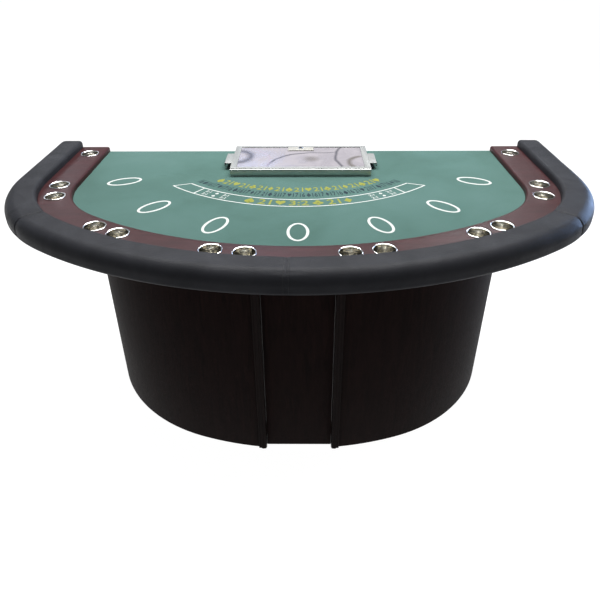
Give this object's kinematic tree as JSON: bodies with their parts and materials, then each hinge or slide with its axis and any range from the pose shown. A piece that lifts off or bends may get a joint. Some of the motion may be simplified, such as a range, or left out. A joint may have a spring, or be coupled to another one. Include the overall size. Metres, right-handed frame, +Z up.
{
  "type": "blackjack table",
  "caption": "Half-round blackjack table with padded armrest, wooden cup track, felt layout, lift-out cup holders, locking chip tray and curved panelled base.",
  "frame": {"origin": "on the floor, at the middle of the table's plan outline", "axes": "+Z up; +X to the right of a player facing the dealer; players sit on the -Y side and the dealer stands at +Y"},
  "size_m": [2.134, 1.18, 0.925],
  "materials": {
    "deck_ply": "birch plywood, edges sealed",
    "underlay_foam": "closed-cell foam sheet, fabric stands in for foam",
    "felt_cloth": "short-nap green playing cloth, muted blue-green",
    "track_wood": "dark red mahogany stain under satin lacquer",
    "rail_ply": "plywood",
    "rail_foam": "upholstery foam",
    "armrest_vinyl": "charcoal-black upholstery vinyl, fine pebble grain, semi-matt",
    "base_panel": "very dark espresso stain, low sheen",
    "base_post": "very dark espresso stain, low sheen",
    "former_ply": "plywood",
    "base_rail": "very dark espresso stain",
    "zinc_bolt": "zinc plated",
    "brass_insert": "turned",
    "foot_rubber": "moulded black",
    "cup_steel": "polished stainless steel",
    "case_sheet": "satin sheet",
    "row_sheet": "satin sheet",
    "handle_sheet": "bright satin sheet",
    "pad_rubber": "soft rubber",
    "hinge_steel": "rolled steel",
    "lid_frame_metal": "bright satin extrusion",
    "lid_mirror": "polished plate, lightly worn",
    "lock_plate_metal": "bright satin plate",
    "lock_chrome": "polished",
    "plug_metal": "dark brushed",
    "cam_steel": "zinc plated"
  },
  "bodies": {
    "table": {"deck_board": "deck_ply", "foam_underlay": "underlay_foam", "felt_layout": "felt_cloth", "cup_track": "track_wood", "armrest_base": "rail_ply", "armrest_foam": "rail_foam", "armrest_cover_left_side": "armrest_vinyl", "armrest_cover_left_front": "armrest_vinyl", "armrest_cover_right_front": "armrest_vinyl", "armrest_cover_right_side": "armrest_vinyl", "front_panel": "base_panel", "side_panel_left": "base_panel", "side_panel_right": "base_panel", "post_front_left": "base_post", "post_front_right": "base_post", "post_rear_left": "base_post", "post_rear_right": "base_post", "upper_former": "former_ply", "lower_former": "former_ply", "rear_apron": "base_rail", "rear_stretcher": "base_rail", "deck_bolts": "zinc_bolt", "rail_screws": "zinc_bolt", "foot_inserts": "brass_insert"},
    "tray": {"tray_case": "case_sheet", "tray_insert": "row_sheet", "tray_handle_left": "handle_sheet", "tray_handle_right": "handle_sheet", "handle_rivets": "zinc_bolt", "tray_pads": "pad_rubber", "case_knuckles": "hinge_steel", "hinge_pin": "hinge_steel", "lock_strike": "cam_steel"},
    "lid": {"lid_knuckles": "hinge_steel", "lid_frame": "lid_frame_metal", "lid_panel": "lid_mirror", "lock_plate": "lock_plate_metal", "lock_barrel": "lock_chrome", "lock_nut": "cam_steel"},
    "lock": {"lock_plug": "plug_metal", "lock_cam": "cam_steel"},
    "foot_front_left": {"leveller_front_left": "foot_rubber"},
    "foot_front_right": {"leveller_front_right": "foot_rubber"},
    "foot_rear_left": {"leveller_rear_left": "foot_rubber"},
    "foot_rear_right": {"leveller_rear_right": "foot_rubber"},
    "cup_1": {"cup_holder_1": "cup_steel"},
    "cup_2": {"cup_holder_2": "cup_steel"},
    "cup_3": {"cup_holder_3": "cup_steel"},
    "cup_4": {"cup_holder_4": "cup_steel"},
    "cup_5": {"cup_holder_5": "cup_steel"},
    "cup_6": {"cup_holder_6": "cup_steel"},
    "cup_7": {"cup_holder_7": "cup_steel"},
    "cup_8": {"cup_holder_8": "cup_steel"},
    "cup_9": {"cup_holder_9": "cup_steel"},
    "cup_10": {"cup_holder_10": "cup_steel"},
    "cup_11": {"cup_holder_11": "cup_steel"},
    "cup_12": {"cup_holder_12": "cup_steel"},
    "cup_13": {"cup_holder_13": "cup_steel"},
    "cup_14": {"cup_holder_14": "cup_steel"}
  },
  "joints": [
    {"name": "tray_lift", "type": "slide", "parent": "table", "child": "tray", "axis": [0, 0, 1], "range_m": [0, 0.12]},
    {"name": "lid_hinge", "type": "hinge", "parent": "tray", "child": "lid", "pos_m": [0.006, 0.2699, 0.908], "axis": [1, 0, 0], "range_deg": [0, 180]},
    {"name": "lock_turn", "type": "hinge", "parent": "lid", "child": "lock", "pos_m": [0.006, 0.525, 0.9082], "axis": [0, 0, 1], "range_deg": [0, 90]},
    {"name": "foot_front_left_screw", "type": "slide", "parent": "table", "child": "foot_front_left", "axis": [0, 0, -1], "range_m": [0, 0.015]},
    {"name": "foot_front_right_screw", "type": "slide", "parent": "table", "child": "foot_front_right", "axis": [0, 0, -1], "range_m": [0, 0.015]},
    {"name": "foot_rear_left_screw", "type": "slide", "parent": "table", "child": "foot_rear_left", "axis": [0, 0, -1], "range_m": [0, 0.015]},
    {"name": "foot_rear_right_screw", "type": "slide", "parent": "table", "child": "foot_rear_right", "axis": [0, 0, -1], "range_m": [0, 0.015]},
    {"name": "cup_1_lift", "type": "slide", "parent": "table", "child": "cup_1", "axis": [0, 0, 1], "range_m": [0, 0.09]},
    {"name": "cup_2_lift", "type": "slide", "parent": "table", "child": "cup_2", "axis": [0, 0, 1], "range_m": [0, 0.09]},
    {"name": "cup_3_lift", "type": "slide", "parent": "table", "child": "cup_3", "axis": [0, 0, 1], "range_m": [0, 0.09]},
    {"name": "cup_4_lift", "type": "slide", "parent": "table", "child": "cup_4", "axis": [0, 0, 1], "range_m": [0, 0.09]},
    {"name": "cup_5_lift", "type": "slide", "parent": "table", "child": "cup_5", "axis": [0, 0, 1], "range_m": [0, 0.09]},
    {"name": "cup_6_lift", "type": "slide", "parent": "table", "child": "cup_6", "axis": [0, 0, 1], "range_m": [0, 0.09]},
    {"name": "cup_7_lift", "type": "slide", "parent": "table", "child": "cup_7", "axis": [0, 0, 1], "range_m": [0, 0.09]},
    {"name": "cup_8_lift", "type": "slide", "parent": "table", "child": "cup_8", "axis": [0, 0, 1], "range_m": [0, 0.09]},
    {"name": "cup_9_lift", "type": "slide", "parent": "table", "child": "cup_9", "axis": [0, 0, 1], "range_m": [0, 0.09]},
    {"name": "cup_10_lift", "type": "slide", "parent": "table", "child": "cup_10", "axis": [0, 0, 1], "range_m": [0, 0.09]},
    {"name": "cup_11_lift", "type": "slide", "parent": "table", "child": "cup_11", "axis": [0, 0, 1], "range_m": [0, 0.09]},
    {"name": "cup_12_lift", "type": "slide", "parent": "table", "child": "cup_12", "axis": [0, 0, 1], "range_m": [0, 0.09]},
    {"name": "cup_13_lift", "type": "slide", "parent": "table", "child": "cup_13", "axis": [0, 0, 1], "range_m": [0, 0.09]},
    {"name": "cup_14_lift", "type": "slide", "parent": "table", "child": "cup_14", "axis": [0, 0, 1], "range_m": [0, 0.09]}
  ]
}
